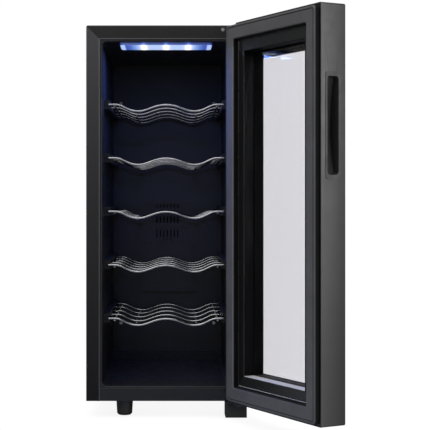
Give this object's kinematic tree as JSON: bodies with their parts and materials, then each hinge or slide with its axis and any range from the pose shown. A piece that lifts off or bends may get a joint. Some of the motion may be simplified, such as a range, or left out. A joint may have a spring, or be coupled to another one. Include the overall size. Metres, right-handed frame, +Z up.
{
  "type": "wine cooler",
  "caption": "Tall narrow free-standing wine cooler, glass door open on a right-hand hinge, with pull-out wavy wire shelves and a lit interior.",
  "frame": {"origin": "on the floor under the middle of the cabinet's footprint, the open door not counted", "axes": "+Z up, the door opening faces -Y, +X to the right as seen from the front, where the hinge is"},
  "size_m": [0.3879, 0.7091, 0.6335],
  "materials": {
    "black_painted_steel": "satin",
    "bottom_pan": "satin",
    "galvanised_steel": "matte",
    "grey_liner": "satin",
    "duct_plastic": "satin",
    "foam": "matte",
    "fan_black": "satin",
    "aluminium": "satin",
    "ceramic_module": "matte",
    "screw_steel": "satin",
    "chrome_screw": "polished",
    "black_plastic": "satin",
    "white_plastic": "satin",
    "circuit_board": "satin",
    "electronic_parts": "gloss",
    "light_lens": "satin",
    "led": "gloss",
    "hinge_steel": "satin",
    "pin_steel": "polished",
    "foot_plastic": "matte",
    "shelf_chrome": "polished",
    "door_frame_grey": "satin",
    "door_inner_plastic": "satin",
    "gasket": "matte",
    "magnet": "matte",
    "clear_glass": "polished",
    "spacer_black": "satin",
    "handle_black": "satin",
    "display": "gloss",
    "brass_pins": "satin"
  },
  "bodies": {
    "cabinet": {"outer_shell": "black_painted_steel", "bottom_panel": "bottom_pan", "rear_bulkhead": "galvanised_steel", "rear_panel": "black_painted_steel", "rear_grille": "black_plastic", "inner_liner": "grey_liner", "insulation_foam": "foam", "duct_cover": "duct_plastic", "duct_cover_screws": "screw_steel", "cold_fan_housing": "fan_black", "cold_sink": "aluminium", "cold_block": "aluminium", "thermoelectric_module": "ceramic_module", "hot_sink": "aluminium", "sink_bolts": "screw_steel", "hot_fan_housing": "fan_black", "temperature_sensor": "white_plastic", "board_tray": "white_plastic", "power_board": "circuit_board", "power_parts": "electronic_parts", "power_inlet": "black_plastic", "inlet_pins": "brass_pins", "rear_panel_screws": "screw_steel", "light_lens": "light_lens", "light_board": "circuit_board", "light_leds": "led", "front_left_foot": "foot_plastic", "rear_left_foot": "foot_plastic", "rear_right_foot": "foot_plastic", "foot_screws": "screw_steel", "hinge_foot": "foot_plastic", "lower_hinge_plate": "hinge_steel", "lower_hinge_pin": "pin_steel", "lower_hinge_screws": "screw_steel", "upper_hinge_bracket": "hinge_steel", "upper_hinge_pin": "pin_steel", "upper_hinge_screws": "chrome_screw"},
    "door": {"door_frame": "door_frame_grey", "door_inner_frame": "door_inner_plastic", "door_foam": "foam", "door_gasket": "gasket", "gasket_magnets": "magnet", "outer_glass": "clear_glass", "inner_glass": "clear_glass", "glass_spacer": "spacer_black", "handle_cup": "handle_black", "control_board": "circuit_board", "display_module": "display", "lower_door_bush": "white_plastic", "upper_door_bush": "white_plastic"},
    "cold_fan": {"cold_fan_rotor": "fan_black"},
    "hot_fan": {"hot_fan_rotor": "fan_black"},
    "shelf_1_body": {"shelf_1": "shelf_chrome"},
    "shelf_2_body": {"shelf_2": "shelf_chrome"},
    "shelf_3_body": {"shelf_3": "shelf_chrome"},
    "shelf_4_body": {"shelf_4": "shelf_chrome"},
    "shelf_5_body": {"shelf_5": "shelf_chrome"}
  },
  "joints": [
    {"name": "door_hinge", "type": "hinge", "parent": "cabinet", "child": "door", "pos_m": [0.11716, -0.2526, 0.33], "axis": [0, 0, 1], "range_deg": [-118, 0]},
    {"name": "shelf_1_slide", "type": "slide", "parent": "cabinet", "child": "shelf_1_body", "axis": [0, -1, 0], "range_m": [0, 0.2]},
    {"name": "shelf_2_slide", "type": "slide", "parent": "cabinet", "child": "shelf_2_body", "axis": [0, -1, 0], "range_m": [0, 0.2]},
    {"name": "shelf_3_slide", "type": "slide", "parent": "cabinet", "child": "shelf_3_body", "axis": [0, -1, 0], "range_m": [0, 0.2]},
    {"name": "shelf_4_slide", "type": "slide", "parent": "cabinet", "child": "shelf_4_body", "axis": [0, -1, 0], "range_m": [0, 0.2]},
    {"name": "shelf_5_slide", "type": "slide", "parent": "cabinet", "child": "shelf_5_body", "axis": [0, -1, 0], "range_m": [0, 0.2]},
    {"name": "cold_fan_spin", "type": "hinge", "parent": "cabinet", "child": "cold_fan", "pos_m": [0, 0.129, 0.2245], "axis": [0, 1, 0], "continuous": true},
    {"name": "hot_fan_spin", "type": "hinge", "parent": "cabinet", "child": "hot_fan", "pos_m": [0, 0.22, 0.2245], "axis": [0, 1, 0], "continuous": true}
  ]
}
